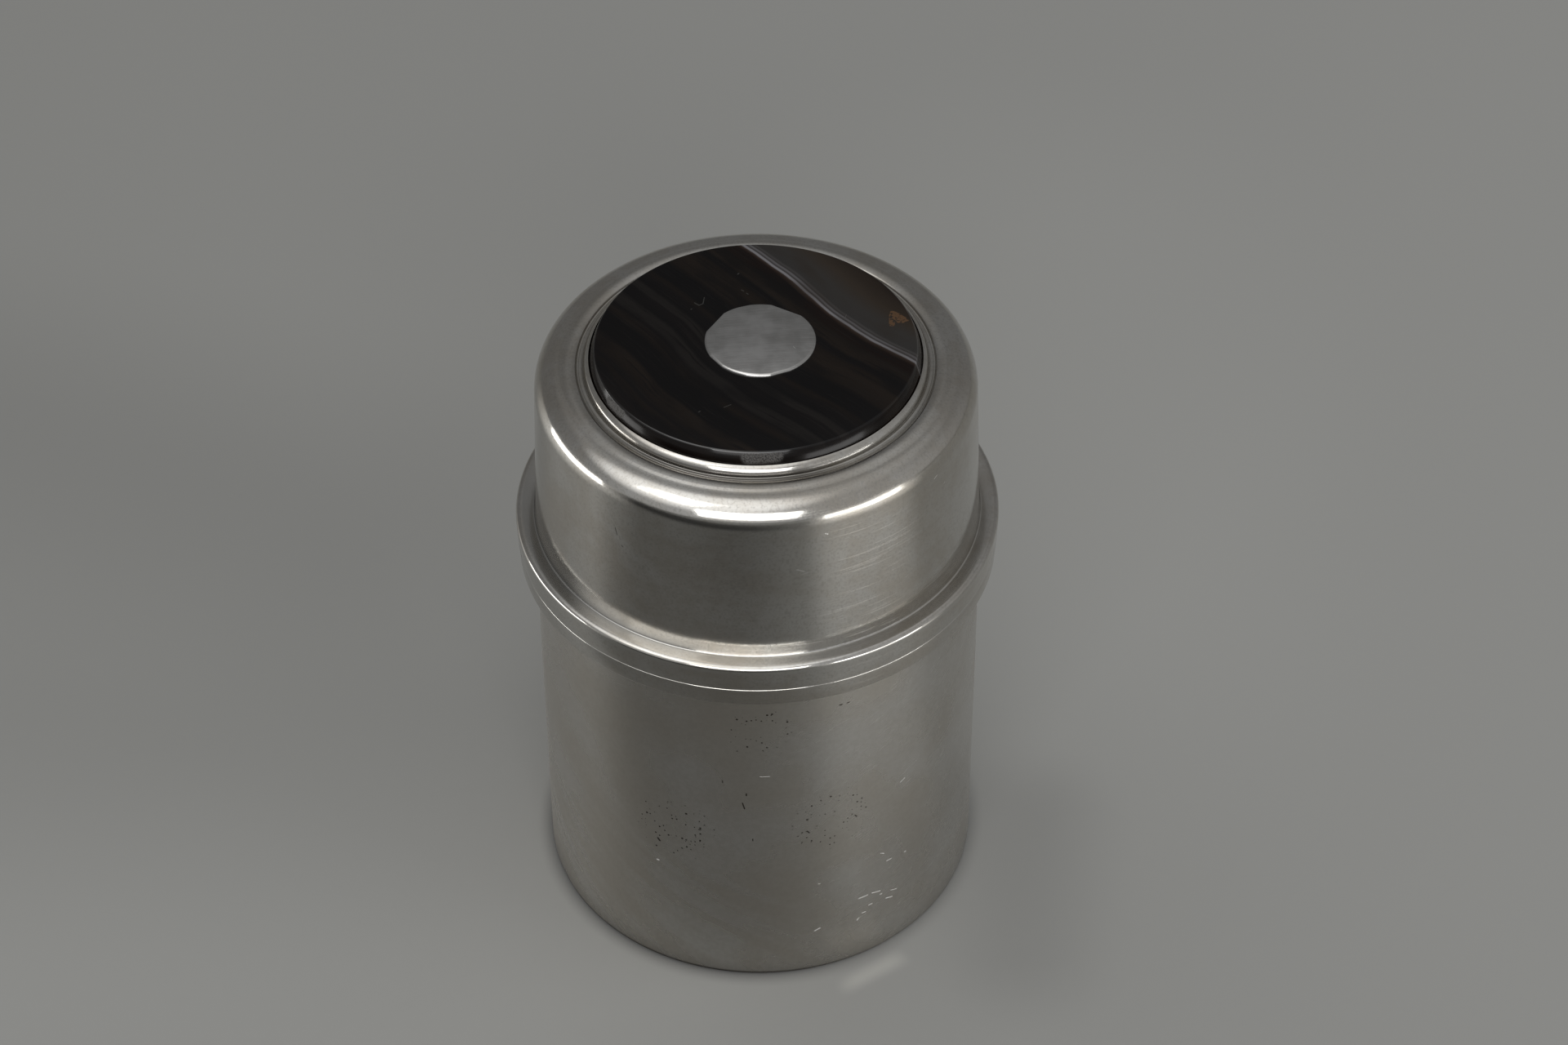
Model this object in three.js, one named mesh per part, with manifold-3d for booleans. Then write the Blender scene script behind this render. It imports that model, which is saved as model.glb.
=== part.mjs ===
// A round pewter box with a lift-off lid. Its crown carries a dark agate disc in a
// turned bezel, and a filed pewter stud riveted through the stone.
//
// Millimetres, +Z up. The box stands on Z = 0 with its axis on the Z axis, and the
// lid is in place, resting on the rim ring.

import * as THREE from 'three';
import { mergeVertices } from 'three/addons/utils/BufferGeometryUtils.js';
import Module from 'manifold-3d';

const solids = await Module();
solids.setup();

// How finely round pieces are divided
const ROUND_SIDES = 72;
const SMALL_SIDES = 36;

// The box
const WALL_FOOT_R = 41.2;        // outer radius just above the foot
const WALL_TOP_R = 40.8;         // the wall draws in slightly on its way up
const WALL_INNER_R = 38.25;
const SEAT_Z = 79.5;             // the lid rests on the rim at this height
const FOOT_EDGE = 0.8;           // rounding where the wall meets the table
const LEDGE_Z = 1.2;             // the foot turns in under the base disc
const LEDGE_INNER_R = 36.4;
const BASE_THICKNESS = 2.0;
const SOLDER_GAP = 0.05;         // between soldered pieces, on the radius

// The ring around the mouth of the box
const RIM_R = 43.8;
const RIM_BOTTOM_R = 43.7;
const RIM_BOTTOM_Z = 75.8;
const EDGE = 0.25;               // bevel on the ring and flange edges

// The neck that the lid slips over
const NECK_THICKNESS = 1.3;
const NECK_BOTTOM_Z = 66.0;
const NECK_TOP_Z = 97.5;

// The lid's spun shell
const LID_FOOT_R = 40.3;         // outer radius where the wall meets the flange
const SHOULDER_R = 39.25;        // outer radius where the shoulder begins
const SHOULDER_Z = 112.6;
const SHOULDER_RUN = 4.4;        // the shoulder is a quarter ellipse
const SHOULDER_RISE = 5.2;
const LID_THICKNESS = 1.3;
const BEZEL_SEAT_Z = 117.4;      // flat of the crown under the setting
const LIFT_GAP = 0.3;            // under the shell's edge, so only the flange seats

// The flange around the lid's foot
const FLANGE_R = 44.0;
const FLANGE_FOOT_R = 43.9;
const SHELF_Z = 84.9;            // its top is a shelf that falls a little outwards
const SHELF_FALL = 0.2;
const SHELF_FILLET = 0.5;

// The bezel around the stone
const BEZEL_FOOT_R = 32.2;
const BEZEL_ROLL_Z = 119.3;
const BEZEL_GROOVE_R = 31.35;
const BEZEL_GROOVE_Z = 118.0;

// The stone and its bed
const STONE_R = 29.35;
const STONE_TOP_R = 28.35;
const STONE_TOP_Z = 121.4;
const STONE_GIRDLE_Z = 119.1;
const BED_THICKNESS = 0.5;
const STONE_GAP = 0.1;           // between the stone's girdle and the bezel

// The stud through the stone, set a little off the axis by hand
const STUD_X = 0.8;
const STUD_Y = 1.0;
const STUD_R = 9.85;
const STUD_HEAD = 0.75;
const SHANK_R = 2.5;
const SHANK_GAP = 0.1;
const WASHER_R = 5.5;
const WASHER_THICKNESS = 1.0;
const TAIL_R = 3.6;
const TAIL_THICKNESS = 0.8;

// Flats that the file left on the stud's edge: direction in degrees, distance out
const STUD_FLATS = [
  [149, 9.35],
  [108, 9.70],
  [60, 9.30],
  [-68, 9.62],
  [-143, 9.62],
  [-20, 9.75],
];

const pewter = (name) => new THREE.MeshStandardMaterial({
  name, color: 0x8f8d88, roughness: 0.34, metalness: 1.0,
});
const innerPewter = (name) => new THREE.MeshStandardMaterial({
  name, color: 0x7d7b76, roughness: 0.5, metalness: 1.0,
});
const agate = (name) => new THREE.MeshStandardMaterial({
  name, color: 0x17120f, roughness: 0.08, metalness: 0.0,
});
const settingCement = (name) => new THREE.MeshStandardMaterial({
  name, color: 0x4a4034, roughness: 0.9, metalness: 0.0,
});

// Points along part of an ellipse, as [radius from the axis, height]. Angles are in
// degrees, 0 pointing outwards and 90 up.
function arc(centreR, centreZ, run, rise, fromDegrees, toDegrees, steps) {
  return Array.from({ length: steps + 1 }, (_, i) => {
    const angle = THREE.MathUtils.degToRad(
      THREE.MathUtils.lerp(fromDegrees, toDegrees, i / steps));
    return [centreR + run * Math.cos(angle), centreZ + rise * Math.sin(angle)];
  });
}

// A solid turned about Z. The profile runs up the outside and down the inside. One
// that touches the axis starts and ends there; any other is closed here.
function turned(profile, sides = ROUND_SIDES) {
  const points = profile.map(([r, z]) => new THREE.Vector2(r, z));
  const touchesAxis = points[0].x === 0;
  if (!touchesAxis) points.push(points[0].clone());
  return new THREE.LatheGeometry(points, sides).rotateX(Math.PI / 2);
}

function toSolid(geometry) {
  const bare = geometry.clone();
  bare.deleteAttribute('normal');
  bare.deleteAttribute('uv');
  const merged = mergeVertices(bare, 1e-4);
  return new solids.Manifold(new solids.Mesh({
    numProp: 3,
    vertProperties: new Float32Array(merged.attributes.position.array),
    triVerts: new Uint32Array(merged.index.array),
  }));
}

function toGeometry(solid) {
  const mesh = solid.getMesh();
  const geometry = new THREE.BufferGeometry();
  geometry.setAttribute('position', new THREE.BufferAttribute(mesh.vertProperties, 3));
  geometry.setIndex(new THREE.BufferAttribute(mesh.triVerts, 1));
  geometry.computeVertexNormals();
  return geometry;
}

// Drills a hole for the stud's shank right through a piece.
function drilledForStud(geometry, radius) {
  geometry.computeBoundingBox();
  const { min, max } = geometry.boundingBox;
  const past = 1;
  const drill = turned([
    [0, min.z - past],
    [radius, min.z - past],
    [radius, max.z + past],
    [0, max.z + past],
  ], SMALL_SIDES).translate(STUD_X, STUD_Y, 0);
  return toGeometry(toSolid(geometry).subtract(toSolid(drill)));
}

function piece(name, geometry, material) {
  const mesh = new THREE.Mesh(geometry, material);
  mesh.name = name;
  return mesh;
}

// Body of the box

// Cast and turned tube. The foot turns inwards as a ledge that carries the base.
function bodyWall() {
  return turned([
    [LEDGE_INNER_R, 0],
    ...arc(WALL_FOOT_R - FOOT_EDGE, FOOT_EDGE, FOOT_EDGE, FOOT_EDGE, -90, 0, 4),
    [WALL_TOP_R, RIM_BOTTOM_Z - 1],
    [WALL_TOP_R, SEAT_Z],
    [WALL_INNER_R, SEAT_Z],
    [WALL_INNER_R, LEDGE_Z],
    [LEDGE_INNER_R, LEDGE_Z],
  ]);
}

function baseDisc() {
  const r = WALL_INNER_R - SOLDER_GAP;
  const top = LEDGE_Z + BASE_THICKNESS;
  const ease = 0.3;
  return turned([
    [0, LEDGE_Z],
    [r, LEDGE_Z],
    [r, top - ease],
    [r - ease, top],
    [0, top],
  ]);
}

// The ring that thickens the mouth and makes the lid's seat.
function rimRing() {
  const bore = WALL_TOP_R + SOLDER_GAP;
  return turned([
    [bore, RIM_BOTTOM_Z],
    [RIM_BOTTOM_R - EDGE, RIM_BOTTOM_Z],
    [RIM_BOTTOM_R, RIM_BOTTOM_Z + EDGE],
    [RIM_R, SEAT_Z - EDGE],
    [RIM_R - EDGE, SEAT_Z],
    [bore, SEAT_Z],
  ]);
}

// A sheet sleeve soldered inside the wall. Its upper half guides the lid.
function neckSleeve() {
  const outer = WALL_INNER_R - SOLDER_GAP;
  const half = NECK_THICKNESS / 2;
  return turned([
    [outer - NECK_THICKNESS, NECK_BOTTOM_Z],
    [outer, NECK_BOTTOM_Z],
    ...arc(outer - half, NECK_TOP_Z - half, half, half, 0, 180, 6),
  ]);
}

// Lid

// Height of the crown's upper face: flat under the setting, then swelling gently
// up to the shoulder.
function crownSwell(steps) {
  const shoulderTop = SHOULDER_Z + SHOULDER_RISE;
  const outerR = SHOULDER_R - SHOULDER_RUN;
  return Array.from({ length: steps }, (_, i) => {
    const t = (i + 1) / (steps + 1);
    const swell = THREE.MathUtils.smootherstep(t, 0, 1);
    return [
      THREE.MathUtils.lerp(outerR, BEZEL_FOOT_R, t),
      THREE.MathUtils.lerp(shoulderTop, BEZEL_SEAT_Z, swell),
    ];
  });
}

// The spun cap: a slightly tapered wall, a quarter-ellipse shoulder and the crown.
function lidShell() {
  const bottom = SEAT_Z + LIFT_GAP;
  const shoulderR = SHOULDER_R - SHOULDER_RUN;
  const innerRun = SHOULDER_RUN - LID_THICKNESS;
  const innerRise = SHOULDER_RISE - LID_THICKNESS;
  const shell = turned([
    [LID_FOOT_R - LID_THICKNESS, bottom],
    [LID_FOOT_R, bottom],
    [LID_FOOT_R, SHELF_Z],
    ...arc(shoulderR, SHOULDER_Z, SHOULDER_RUN, SHOULDER_RISE, 0, 90, 9),
    ...crownSwell(2),
    [BEZEL_FOOT_R, BEZEL_SEAT_Z],
    [0, BEZEL_SEAT_Z],
    [0, BEZEL_SEAT_Z - LID_THICKNESS],
    [BEZEL_FOOT_R, BEZEL_SEAT_Z - LID_THICKNESS],
    ...arc(shoulderR, SHOULDER_Z, innerRun, innerRise, 90, 0, 5),
  ]);
  return drilledForStud(shell, SHANK_R + SHANK_GAP);
}

// The ring soldered round the lid's foot. Its top is a shelf with a small fillet
// against the wall, and its flat underside sits on the rim ring.
function lidFlange() {
  const bore = LID_FOOT_R + SOLDER_GAP;
  const filletR = bore + SHELF_FILLET;
  const shelfEdgeZ = SHELF_Z - SHELF_FALL;
  return turned([
    [bore, SEAT_Z],
    [FLANGE_FOOT_R - EDGE, SEAT_Z],
    [FLANGE_FOOT_R, SEAT_Z + EDGE],
    ...arc(FLANGE_R - 2 * EDGE, shelfEdgeZ - 2 * EDGE, 2 * EDGE, 2 * EDGE, 0, 90, 3),
    ...arc(filletR, SHELF_Z + SHELF_FILLET, SHELF_FILLET, SHELF_FILLET, 270, 180, 3),
  ]);
}

// The collar that holds the stone. From the foot it climbs by a hollow to a fine
// groove, then rolls over towards the stone.
function bezelRing() {
  const bore = STONE_R + STONE_GAP;
  const hollowRun = BEZEL_FOOT_R - BEZEL_GROOVE_R;
  const hollowRise = BEZEL_GROOVE_Z - BEZEL_SEAT_Z;
  const grooveDepth = 0.12;
  const rollR = bore + 0.75;
  const rollRise = BEZEL_ROLL_Z - BEZEL_GROOVE_Z - grooveDepth;
  return turned([
    [bore, BEZEL_SEAT_Z],
    ...arc(BEZEL_FOOT_R, BEZEL_GROOVE_Z, hollowRun, hollowRise, 270, 180, 4),
    [BEZEL_GROOVE_R - grooveDepth, BEZEL_GROOVE_Z + grooveDepth / 2],
    ...arc(rollR, BEZEL_GROOVE_Z + grooveDepth, BEZEL_GROOVE_R - rollR, rollRise, 0, 90, 5),
    [bore, BEZEL_ROLL_Z - 0.12],
  ]);
}

function cementBed() {
  const bed = turned([
    [0, BEZEL_SEAT_Z],
    [STONE_R - 0.6, BEZEL_SEAT_Z],
    [STONE_R - 0.6, BEZEL_SEAT_Z + BED_THICKNESS],
    [0, BEZEL_SEAT_Z + BED_THICKNESS],
  ]);
  return drilledForStud(bed, SHANK_R + SHANK_GAP);
}

// Polished disc with a steep ground chamfer above its girdle.
function agateDisc() {
  const bottom = BEZEL_SEAT_Z + BED_THICKNESS;
  const ease = 0.12;
  const disc = turned([
    [0, bottom],
    [STONE_R - 0.3, bottom],
    [STONE_R, bottom + 0.3],
    [STONE_R, STONE_GIRDLE_Z],
    [STONE_TOP_R + ease / 2, STONE_TOP_Z - ease],
    [STONE_TOP_R - ease, STONE_TOP_Z],
    [0, STONE_TOP_Z],
  ]);
  return drilledForStud(disc, SHANK_R + SHANK_GAP);
}

// How far out the stud's edge reaches in one direction, after filing.
function filedRadius(angle) {
  return STUD_FLATS.reduce((radius, [degrees, distance]) => {
    const off = angle - THREE.MathUtils.degToRad(degrees);
    return Math.cos(off) > 0 ? Math.min(radius, distance / Math.cos(off)) : radius;
  }, STUD_R);
}

// Rivet in one piece: a thin round-edged head on the stone, a shank through stone and
// crown, and a tail peened over the washer. The head's edge is then filed.
function centreStud() {
  const headTop = STONE_TOP_Z + STUD_HEAD;
  const edge = STUD_HEAD * 0.8;
  const dome = 0.12;
  const tailTop = BEZEL_SEAT_Z - LID_THICKNESS - WASHER_THICKNESS;
  const stud = turned([
    [0, tailTop - TAIL_THICKNESS],
    ...arc(SHANK_R, tailTop, TAIL_R - SHANK_R, TAIL_THICKNESS, -90, 0, 3),
    [SHANK_R, tailTop],
    [SHANK_R, STONE_TOP_Z],
    [STUD_R, STONE_TOP_Z],
    ...arc(STUD_R - edge, headTop - dome - edge, edge, edge, 10, 80, 3),
    [STUD_R * 0.6, headTop - dome / 4],
    [0, headTop],
  ]);
  const position = stud.attributes.position;
  for (let i = 0; i < position.count; i += 1) {
    const x = position.getX(i);
    const y = position.getY(i);
    const isHead = Math.hypot(x, y) > TAIL_R + 1;
    const factor = isHead ? filedRadius(Math.atan2(y, x)) / STUD_R : 1;
    position.setXY(i, x * factor, y * factor);
  }
  return stud.translate(STUD_X, STUD_Y, 0);
}

function studWasher() {
  const top = BEZEL_SEAT_Z - LID_THICKNESS;
  const bottom = top - WASHER_THICKNESS;
  const ease = 0.2;
  return turned([
    [SHANK_R + SHANK_GAP, bottom],
    [WASHER_R - ease, bottom],
    [WASHER_R, bottom + ease],
    [WASHER_R, top],
    [SHANK_R + SHANK_GAP, top],
  ], SMALL_SIDES).translate(STUD_X, STUD_Y, 0);
}

const box = new THREE.Group();
box.add(
  piece('body_wall', bodyWall(), pewter('wall')),
  piece('base_disc', baseDisc(), innerPewter('base')),
  piece('rim_ring', rimRing(), pewter('rim')),
  piece('neck_sleeve', neckSleeve(), innerPewter('neck')),
);

const lid = new THREE.Group();
lid.add(
  piece('lid_shell', lidShell(), pewter('lid')),
  piece('lid_flange', lidFlange(), pewter('flange')),
  piece('bezel_ring', bezelRing(), pewter('bezel')),
  piece('cement_bed', cementBed(), settingCement('bed')),
  piece('agate_disc', agateDisc(), agate('agate')),
  piece('centre_stud', centreStud(), pewter('stud')),
  piece('stud_washer', studWasher(), innerPewter('washer')),
);

const group = new THREE.Group();
group.add(box, lid);

export default group;
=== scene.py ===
"""A round pewter box with a lift-off lid, whose crown carries an agate disc in a turned
bezel and a filed stud. Metres, +Z up, the box standing on Z = 0."""

from math import atan, cos, pi, radians, sin, tan

import bpy
from mathutils import Matrix, Vector


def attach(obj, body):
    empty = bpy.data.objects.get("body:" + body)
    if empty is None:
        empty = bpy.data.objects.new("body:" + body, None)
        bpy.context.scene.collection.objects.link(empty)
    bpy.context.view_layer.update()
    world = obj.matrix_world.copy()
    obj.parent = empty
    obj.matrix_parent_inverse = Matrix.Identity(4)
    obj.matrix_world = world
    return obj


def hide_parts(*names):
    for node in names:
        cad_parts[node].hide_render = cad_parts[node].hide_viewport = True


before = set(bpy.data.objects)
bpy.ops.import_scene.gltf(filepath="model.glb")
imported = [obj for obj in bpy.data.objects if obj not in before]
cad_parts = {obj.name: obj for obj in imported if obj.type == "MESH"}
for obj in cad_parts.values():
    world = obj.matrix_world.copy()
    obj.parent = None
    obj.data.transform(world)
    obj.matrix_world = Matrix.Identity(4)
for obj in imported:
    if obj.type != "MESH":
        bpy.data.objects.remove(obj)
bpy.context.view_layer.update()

MM = 0.001
SIDES, STUD_SIDES = 320, 240

# The box, in millimetres
SAME_POINT = 0.0001
WALL_FOOT_R, WALL_TOP_R, WALL_INNER_R = 41.2, 40.8, 38.25
SEAT_Z = 79.5
FOOT_EDGE = 0.8
LEDGE_Z, LEDGE_INNER_R = 1.2, 36.4
BASE_TOP_Z, BASE_DISH = 3.2, 0.35
SOLDER_GAP = 0.05
RIM_R, RIM_BOTTOM_R, RIM_BOTTOM_Z = 43.8, 43.7, 75.8
EDGE = 0.25
NECK_THICKNESS, NECK_BOTTOM_Z, NECK_TOP_Z = 1.3, 66.0, 97.5

# The lid. Its shoulder is a quarter ellipse that stops short of level
LID_FOOT_R, LID_BOTTOM_Z = 40.3, 79.8
LID_THICKNESS = 1.3
SHOULDER_R, SHOULDER_Z = 39.25, 112.7
SHOULDER_RUN, SHOULDER_RISE = 4.4, 4.95
SHOULDER_END = 82.5
CROWN_Z = 117.4
# From the shoulder's end the crown swells a little, then drops into the recess round the
# bezel. Each step goes inwards by a run, at a slope in degrees
CROWN_STEPS = [
    (0.40, 4), (0.30, 7), (0.30, 15), (0.35, 20), (0.35, 16), (0.40, 7),
    (0.45, -1), (0.50, -7), (0.45, -12), (0.16, -30), (0.12, -48), (0.08, -62),
]
# The flange's shelf is dished: lowest where the lid's wall coves out to meet it
FLANGE_R, FLANGE_FOOT_R = 44.0, 43.9
SHELF_EDGE, SHELF_DISH, SHELF_GAP = 0.95, 0.054, 0.005
SHELF_CREST_R, SHELF_CREST_Z = FLANGE_R - SHELF_EDGE, 84.95
# The wall flares out a little at its foot, then turns sharply onto the shelf. Each point
# is so far in and up from where the two meet
COVE_FOOT_R = 40.85
COVE = [
    (0.06, 0.01), (0.14, 0.05), (0.21, 0.13), (0.26, 0.24), (0.31, 0.42),
    (0.37, 0.70), (0.43, 1.05), (0.49, 1.50), (0.535, 2.0),
]

# The setting on the crown
BEZEL_R, BEZEL_LIP_Z, BEZEL_FOOT_Z = 31.25, 119.30, 117.45
BEZEL_LIP, BEZEL_ROLL, BEZEL_FACE = 0.12, 1.6, 4.2
STONE_R, STONE_TOP_R = 29.35, 28.35
STONE_BOTTOM_Z, STONE_GIRDLE_Z, STONE_TOP_Z = 117.9, 119.1, 121.4
STONE_GAP = 0.03
STUD_X, STUD_Y = 0.8, 1.0
STUD_R, STUD_HEAD = 9.85, 0.75
STUD_EDGE, STUD_DOME = 0.50, 0.25
STUD_TOP_Z = STONE_TOP_Z + STUD_HEAD
SHANK_R, SHANK_GAP = 2.5, 0.1
TAIL_R, TAIL_THICKNESS, TAIL_TOP_Z = 3.6, 0.8, 115.1
# Where the file went round the stud: the way each flat faces, and its distance
STUD_FLATS = [(149, 9.35), (108, 9.70), (60, 9.30), (-68, 9.62), (-143, 9.62), (-20, 9.75)]


# Shaping

def finish_piece(name, smooth_below=32):
    """Closes seams, turns faces outwards, puts the origin at zero and smooths."""
    bpy.ops.mesh.select_all(action="SELECT")
    bpy.ops.mesh.remove_doubles(threshold=SAME_POINT * MM)
    bpy.ops.mesh.normals_make_consistent(inside=False)
    bpy.ops.object.mode_set(mode="OBJECT")
    bpy.ops.object.transform_apply(location=True, rotation=True, scale=True)
    bpy.ops.object.shade_smooth_by_angle(angle=radians(smooth_below))
    piece = bpy.context.active_object
    piece.name = name
    return piece


def arc(centre_r, centre_z, run, rise, first, last, steps):
    """Outline points along an ellipse. Angles in degrees, 0 outwards and 90 up."""
    turns = [radians(first + (last - first) * i / steps) for i in range(steps + 1)]
    return [(centre_r + run * cos(a), centre_z + rise * sin(a)) for a in turns]


def first_ring(ring, sides, fill):
    """Adds a ring at its radius and height, and selects it all in edit mode."""
    radius, height = ring
    bpy.ops.object.select_all(action="DESELECT")
    bpy.ops.mesh.primitive_circle_add(
        vertices=sides, radius=radius * MM, location=(0, 0, height * MM), fill_type=fill)
    bpy.ops.object.transform_apply(location=True)
    bpy.ops.object.mode_set(mode="EDIT")
    bpy.ops.mesh.select_mode(type="VERT")
    bpy.ops.mesh.select_all(action="SELECT")


def draw_rings(outline):
    """Draws the selected first ring out into a skin, a ring for each (radius, height) of
    the outline. A third number says how far a ring is set over towards the stud."""
    radius, height = outline[0]
    over = 0
    for ring in outline[1:]:
        step = (ring[2] if len(ring) > 2 else 0) - over
        bpy.ops.mesh.extrude_region_move(TRANSFORM_OT_translate={
            "value": (STUD_X * step * MM, STUD_Y * step * MM, (ring[1] - height) * MM)})
        over += step
        if ring[0] == 0:
            bpy.ops.mesh.merge(type="CENTER")
        else:
            grow = ring[0] / radius
            bpy.ops.transform.resize(
                value=(grow, grow, 1),
                center_override=(STUD_X * over * MM, STUD_Y * over * MM, 0))
        radius, height = ring[:2]


def turned(name, outline):
    """Turns a piece about Z. Its outline comes back to its first ring, unless it ends on
    the axis."""
    ends_on_axis = outline[-1][0] == 0
    first_ring(outline[0], SIDES, "NGON" if ends_on_axis else "NOTHING")
    draw_rings(outline if ends_on_axis else outline + outline[:1])
    return finish_piece(name)


# Pieces of the box

def wall():
    ease = 0.2
    taper_end = RIM_BOTTOM_Z - 1
    return turned("wall", [
        (LEDGE_INNER_R + ease, 0),
        *arc(WALL_FOOT_R - FOOT_EDGE, FOOT_EDGE, FOOT_EDGE, FOOT_EDGE, -90, 0, 10),
        (WALL_TOP_R, taper_end),
        (WALL_TOP_R, SEAT_Z - ease),
        (WALL_TOP_R - ease, SEAT_Z),
        (WALL_INNER_R + ease, SEAT_Z),
        (WALL_INNER_R, SEAT_Z - ease),
        (WALL_INNER_R, LEDGE_Z),
        (LEDGE_INNER_R, LEDGE_Z),
        (LEDGE_INNER_R, ease),
    ])


def base():
    outer = WALL_INNER_R - SOLDER_GAP
    fillet = 0.6
    dished_z = BASE_TOP_Z - BASE_DISH
    return turned("base", [
        (outer, LEDGE_Z),
        (outer, BASE_TOP_Z),
        *arc(outer - fillet, BASE_TOP_Z, fillet, -BASE_DISH, 0, 90, 6),
        (outer * 0.66, dished_z),
        (outer * 0.33, dished_z),
        (0, dished_z),
    ])


def rim():
    bore = WALL_TOP_R + SOLDER_GAP
    return turned("rim", [
        (bore, RIM_BOTTOM_Z),
        *arc(RIM_BOTTOM_R - EDGE, RIM_BOTTOM_Z + EDGE, EDGE, EDGE, -90, 0, 5),
        *arc(RIM_R - EDGE, SEAT_Z - EDGE, EDGE, EDGE, 0, 90, 5),
        (bore, SEAT_Z),
    ])


def neck():
    outer = WALL_INNER_R - SOLDER_GAP
    half = NECK_THICKNESS / 2
    return turned("neck", [
        (outer - NECK_THICKNESS, NECK_BOTTOM_Z),
        (outer, NECK_BOTTOM_Z),
        *arc(outer - half, NECK_TOP_Z - half, half, half, 0, 180, 14),
    ])


# Pieces of the lid

def shelf_z(radius):
    """Height of the flange's dished shelf, inside its crest."""
    return SHELF_CREST_Z - SHELF_DISH * (SHELF_CREST_R - radius) ** 2


def crown_outline(radius, height):
    """The crown's top, inwards from the shoulder's end."""
    points = []
    for run, slope in CROWN_STEPS:
        radius -= run
        height += run * tan(radians(slope))
        points.append((radius, height))
    bezel_bore = BEZEL_R + SOLDER_GAP
    return points + [(bezel_bore, BEZEL_FOOT_Z), (bezel_bore, CROWN_Z)]


def lid():
    shoulder_r = SHOULDER_R - SHOULDER_RUN
    shoulder = arc(shoulder_r, SHOULDER_Z, SHOULDER_RUN, SHOULDER_RISE, 0, SHOULDER_END, 26)
    hole = SHANK_R + SHANK_GAP
    under = CROWN_Z - LID_THICKNESS
    foot_z = shelf_z(COVE_FOOT_R)
    return turned("lid", [
        (LID_FOOT_R - LID_THICKNESS, LID_BOTTOM_Z),
        (LID_FOOT_R, LID_BOTTOM_Z),
        (LID_FOOT_R, foot_z - EDGE),
        (COVE_FOOT_R, foot_z - EDGE),
        (COVE_FOOT_R, foot_z),
        *[(COVE_FOOT_R - inward, foot_z + up) for inward, up in COVE],
        *shoulder,
        *crown_outline(*shoulder[-1]),
        (STONE_R, CROWN_Z),
        (hole, CROWN_Z, 1),
        (hole, under, 1),
        (BEZEL_R, under),
        *arc(shoulder_r, SHOULDER_Z, SHOULDER_RUN - LID_THICKNESS,
             SHOULDER_RISE - LID_THICKNESS, 90, 0, 14),
    ])


def flange():
    bore = LID_FOOT_R + SOLDER_GAP
    inner = COVE_FOOT_R + SHELF_GAP
    bands = 7
    shelf = [SHELF_CREST_R + (inner - SHELF_CREST_R) * band / bands
             for band in range(1, bands + 1)]
    under = shelf_z(inner) - EDGE - SOLDER_GAP
    return turned("flange", [
        (bore, SEAT_Z),
        *arc(FLANGE_FOOT_R - EDGE, SEAT_Z + EDGE, EDGE, EDGE, -90, 0, 5),
        *arc(SHELF_CREST_R, SHELF_CREST_Z - SHELF_EDGE, SHELF_EDGE, SHELF_EDGE, 0, 90, 14),
        *[(radius, shelf_z(radius)) for radius in shelf],
        (inner, under),
        (bore, under),
    ])


def bezel():
    """A thin lip over the stone, then down the outside a roll and a steep face that is
    nearly straight. The three arcs run into one another."""
    bore = STONE_R + STONE_GAP
    face_foot, face_top, roll_top, lip_end = 12, 28, 64, 180
    lip_r, lip_z = bore + BEZEL_LIP, BEZEL_LIP_Z - BEZEL_LIP
    roll_back, face_back = BEZEL_ROLL - BEZEL_LIP, BEZEL_FACE - BEZEL_ROLL
    top, bend = radians(roll_top), radians(face_top)
    roll_r, roll_z = lip_r - roll_back * cos(top), lip_z - roll_back * sin(top)
    face_r, face_z = roll_r - face_back * cos(bend), roll_z - face_back * sin(bend)
    face = arc(face_r, face_z, BEZEL_FACE, BEZEL_FACE, face_foot, face_top, 10)
    foot_r = face[0][0]
    ease = 0.05
    return turned("bezel", [
        (bore, CROWN_Z),
        (BEZEL_R, CROWN_Z),
        (BEZEL_R, BEZEL_FOOT_Z - ease),
        (BEZEL_R - ease, BEZEL_FOOT_Z),
        (foot_r + 0.12, BEZEL_FOOT_Z - 0.02),
        (foot_r + 0.02, BEZEL_FOOT_Z + 0.03),
        *face,
        *arc(roll_r, roll_z, BEZEL_ROLL, BEZEL_ROLL, face_top, roll_top, 9)[1:],
        *arc(lip_r, lip_z, BEZEL_LIP, BEZEL_LIP, roll_top, lip_end, 8)[1:],
    ])


def stone():
    """A disc with a steep ground edge. Its top edge is eased over in four steps."""
    chamfer, ease = 0.3, 0.25
    lean = (STONE_R - STONE_TOP_R) / (STONE_TOP_Z - STONE_GIRDLE_Z)
    hole = SHANK_R + SHANK_GAP
    return turned("stone", [
        (STONE_R - chamfer, STONE_BOTTOM_Z),
        (STONE_R, STONE_BOTTOM_Z + chamfer),
        (STONE_R, STONE_GIRDLE_Z),
        (STONE_TOP_R + ease * lean, STONE_TOP_Z - ease),
        (STONE_TOP_R + ease * lean * 0.2, STONE_TOP_Z - ease * 0.50),
        (STONE_TOP_R - ease * 0.25, STONE_TOP_Z - ease * 0.16),
        (STONE_TOP_R - ease * 0.60, STONE_TOP_Z - ease * 0.03),
        (STONE_TOP_R - ease, STONE_TOP_Z),
        (STONE_TOP_R * 0.7, STONE_TOP_Z),
        (hole, STONE_TOP_Z, 1),
        (hole, STONE_BOTTOM_Z, 1),
    ])


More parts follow.
